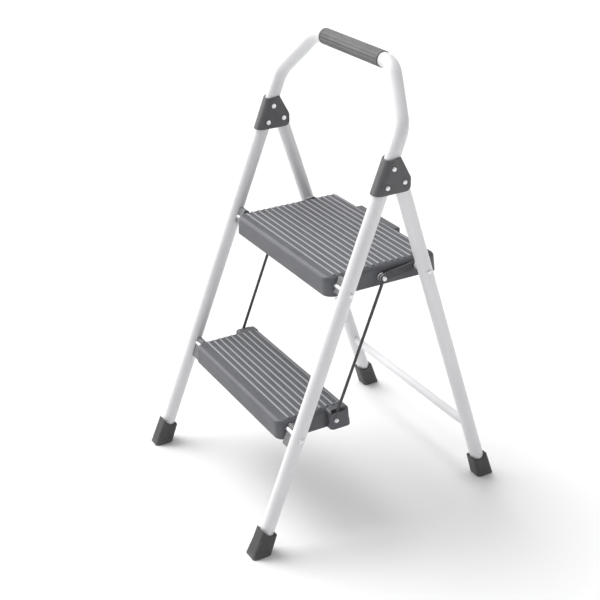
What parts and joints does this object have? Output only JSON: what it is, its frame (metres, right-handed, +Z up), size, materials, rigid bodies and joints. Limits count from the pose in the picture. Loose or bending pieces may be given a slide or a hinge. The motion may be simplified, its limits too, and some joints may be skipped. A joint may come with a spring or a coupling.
{
  "type": "folding step stool",
  "caption": "Folding step stool with a bent tube handle frame, a swinging rear frame, ribbed moulded steps, side rods and lock links.",
  "frame": {"origin": "on the floor, in the middle of the open stool's footprint", "axes": "+Z up, -Y the side that a user climbs from, X across the steps"},
  "size_m": [0.4552, 0.5215, 0.816],
  "materials": {
    "white_powder_coat": "white powder coat, satin",
    "grip_rubber": "ribbed vinyl sleeve, matt",
    "hinge_bracket": "dark grey paint, satin",
    "foot_rubber": "moulded rubber, matt",
    "zinc_steel": "zinc plated",
    "spacer_nylon": "moulded nylon, matt",
    "step_resin": "moulded resin, fine grained",
    "dark_steel": "dark grey paint, satin"
  },
  "bodies": {
    "front_frame": {"front_frame_tube": "white_powder_coat", "handle_grip": "grip_rubber", "left_hinge_bracket": "hinge_bracket", "right_hinge_bracket": "hinge_bracket", "bracket_rivets": "zinc_steel", "rear_pivot_rivets": "zinc_steel", "left_front_foot": "foot_rubber", "right_front_foot": "foot_rubber", "upper_step_axle": "zinc_steel", "lower_step_axle": "zinc_steel", "left_upper_spacer": "spacer_nylon", "right_upper_spacer": "spacer_nylon", "left_lower_spacer": "spacer_nylon", "right_lower_spacer": "spacer_nylon"},
    "rear_frame": {"left_rear_leg": "white_powder_coat", "right_rear_leg": "white_powder_coat", "rear_brace": "white_powder_coat", "left_rear_foot": "foot_rubber", "right_rear_foot": "foot_rubber", "left_link_spacer": "spacer_nylon", "right_link_spacer": "spacer_nylon", "leg_rivets": "zinc_steel"},
    "upper_step_body": {"upper_step": "step_resin", "upper_rod_rivets": "zinc_steel", "upper_rod_washers": "spacer_nylon"},
    "lower_step_body": {"lower_step": "step_resin", "lower_rod_rivets": "zinc_steel", "lower_rod_washers": "spacer_nylon"},
    "left_rod_body": {"left_rod": "dark_steel"},
    "right_rod_body": {"right_rod": "dark_steel"},
    "left_link_body": {"left_lock_link": "dark_steel", "left_link_pin": "zinc_steel"},
    "right_link_body": {"right_lock_link": "dark_steel", "right_link_pin": "zinc_steel"}
  },
  "joints": [
    {"name": "fold", "type": "hinge", "parent": "front_frame", "child": "upper_step_body", "pos_m": [0, -0.06097, 0.455], "axis": [1, 0, 0], "range_deg": [0, 63.5]},
    {"name": "rear_frame_swing", "type": "hinge", "parent": "front_frame", "child": "rear_frame", "pos_m": [0, 0.04115, 0.63325], "axis": [1, 0, 0], "range_deg": [-38.49, 0]},
    {"name": "lower_step_fold", "type": "hinge", "parent": "front_frame", "child": "lower_step_body", "pos_m": [0, -0.15952, 0.208], "axis": [1, 0, 0], "range_deg": [0, 63.5]},
    {"name": "left_rod_turn", "type": "hinge", "parent": "upper_step_body", "child": "left_rod_body", "pos_m": [0, 0.02753, 0.451], "axis": [1, 0, 0], "range_deg": [-63.5, 0]},
    {"name": "right_rod_turn", "type": "hinge", "parent": "upper_step_body", "child": "right_rod_body", "pos_m": [0, 0.02753, 0.451], "axis": [1, 0, 0], "range_deg": [-63.5, 0]},
    {"name": "left_link_turn", "type": "hinge", "parent": "upper_step_body", "child": "left_link_body", "pos_m": [0, 0.02753, 0.451], "axis": [1, 0, 0], "range_deg": [-165.64, 0]},
    {"name": "right_link_turn", "type": "hinge", "parent": "upper_step_body", "child": "right_link_body", "pos_m": [0, 0.02753, 0.451], "axis": [1, 0, 0], "range_deg": [-165.64, 0]}
  ],
  "couplings": [
    {"joint": "rear_frame_swing", "follows": "fold", "ratio": -0.60604},
    {"joint": "lower_step_fold", "follows": "fold", "ratio": 1},
    {"joint": "left_rod_turn", "follows": "fold", "ratio": -1},
    {"joint": "right_rod_turn", "follows": "fold", "ratio": -1},
    {"joint": "left_link_turn", "follows": "fold", "ratio": -2.6083},
    {"joint": "right_link_turn", "follows": "fold", "ratio": -2.6083}
  ]
}
